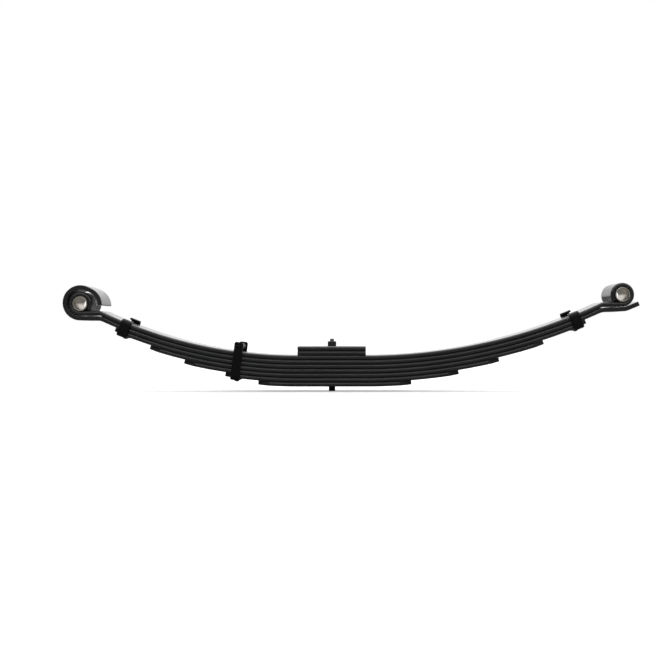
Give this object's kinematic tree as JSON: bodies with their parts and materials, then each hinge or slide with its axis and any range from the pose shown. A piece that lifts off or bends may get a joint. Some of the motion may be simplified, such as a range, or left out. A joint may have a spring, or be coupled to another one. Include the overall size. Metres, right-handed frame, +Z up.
{
  "type": "leaf spring",
  "caption": "Multi-leaf truck spring with rolled eyes, a military wrapper round the eyes, spacer plates, centre bolt and rebound clips.",
  "frame": {"origin": "middle of the bottom face of the centre bolt's head", "axes": "+X along the spring towards its longer half, +Y across the leaves, +Z up, away from the axle seat"},
  "size_m": [1.465, 0.1006, 0.2782],
  "materials": {
    "spring_steel": "satin black paint",
    "clip_steel": "satin black paint",
    "nut_steel": "black oxide",
    "fastener_steel": "dull zinc",
    "bushing_bronze": "machined"
  },
  "bodies": {
    "leaf_pack": {"main_leaf": "spring_steel", "wrapper_leaf": "spring_steel", "leaf_3": "spring_steel", "leaf_4": "spring_steel", "leaf_5": "spring_steel", "leaf_6": "spring_steel", "leaf_7": "spring_steel", "lower_spacer_plate": "spring_steel", "upper_spacer_plate": "spring_steel", "centre_bolt": "fastener_steel", "centre_bolt_nut": "nut_steel"},
    "left_eye": {"left_eye_bushing": "bushing_bronze"},
    "right_eye": {"right_eye_bushing": "bushing_bronze"},
    "left_end_clip_group": {"left_end_clip": "clip_steel", "left_end_clip_rivet": "fastener_steel"},
    "right_end_clip_group": {"right_end_clip": "clip_steel", "right_end_clip_rivet": "fastener_steel"},
    "left_middle_clip_group": {"left_middle_clip": "clip_steel", "left_middle_clip_rivet": "fastener_steel", "left_middle_clip_spacer": "clip_steel", "left_middle_clip_pin": "clip_steel"}
  },
  "joints": [
    {"name": "left_flex", "type": "hinge", "parent": "leaf_pack", "child": "left_eye", "pos_m": [-0.087, 0, 0.08775], "axis": [0, 1, 0], "range_deg": [-10, 1.5], "stiffness_Nm_per_rad": 66000, "deforming": ["main_leaf", "wrapper_leaf", "leaf_3", "leaf_4", "leaf_5", "leaf_6", "leaf_7"]},
    {"name": "right_flex", "type": "hinge", "parent": "leaf_pack", "child": "right_eye", "pos_m": [0.087, 0, 0.08775], "axis": [0, -1, 0], "range_deg": [-10, 1.5], "stiffness_Nm_per_rad": 56000, "deforming": ["main_leaf", "wrapper_leaf", "leaf_3", "leaf_4", "leaf_5", "leaf_6", "leaf_7"]},
    {"name": "left_end_clip_swing", "type": "hinge", "parent": "leaf_pack", "child": "left_end_clip_group", "pos_m": [-0.087, 0, 0.08775], "axis": [0, 1, 0], "range_deg": [-10, 1.5]},
    {"name": "right_end_clip_swing", "type": "hinge", "parent": "leaf_pack", "child": "right_end_clip_group", "pos_m": [0.087, 0, 0.08775], "axis": [0, -1, 0], "range_deg": [-10, 1.5]},
    {"name": "left_middle_clip_swing", "type": "hinge", "parent": "leaf_pack", "child": "left_middle_clip_group", "pos_m": [-0.184, 0, 0.0535], "axis": [0, 1, 0], "range_deg": [-8.5, 1.3]}
  ],
  "couplings": [
    {"joint": "left_end_clip_swing", "follows": "left_flex", "ratio": 1},
    {"joint": "right_end_clip_swing", "follows": "right_flex", "ratio": 1},
    {"joint": "left_middle_clip_swing", "follows": "left_flex", "ratio": 0.841}
  ]
}
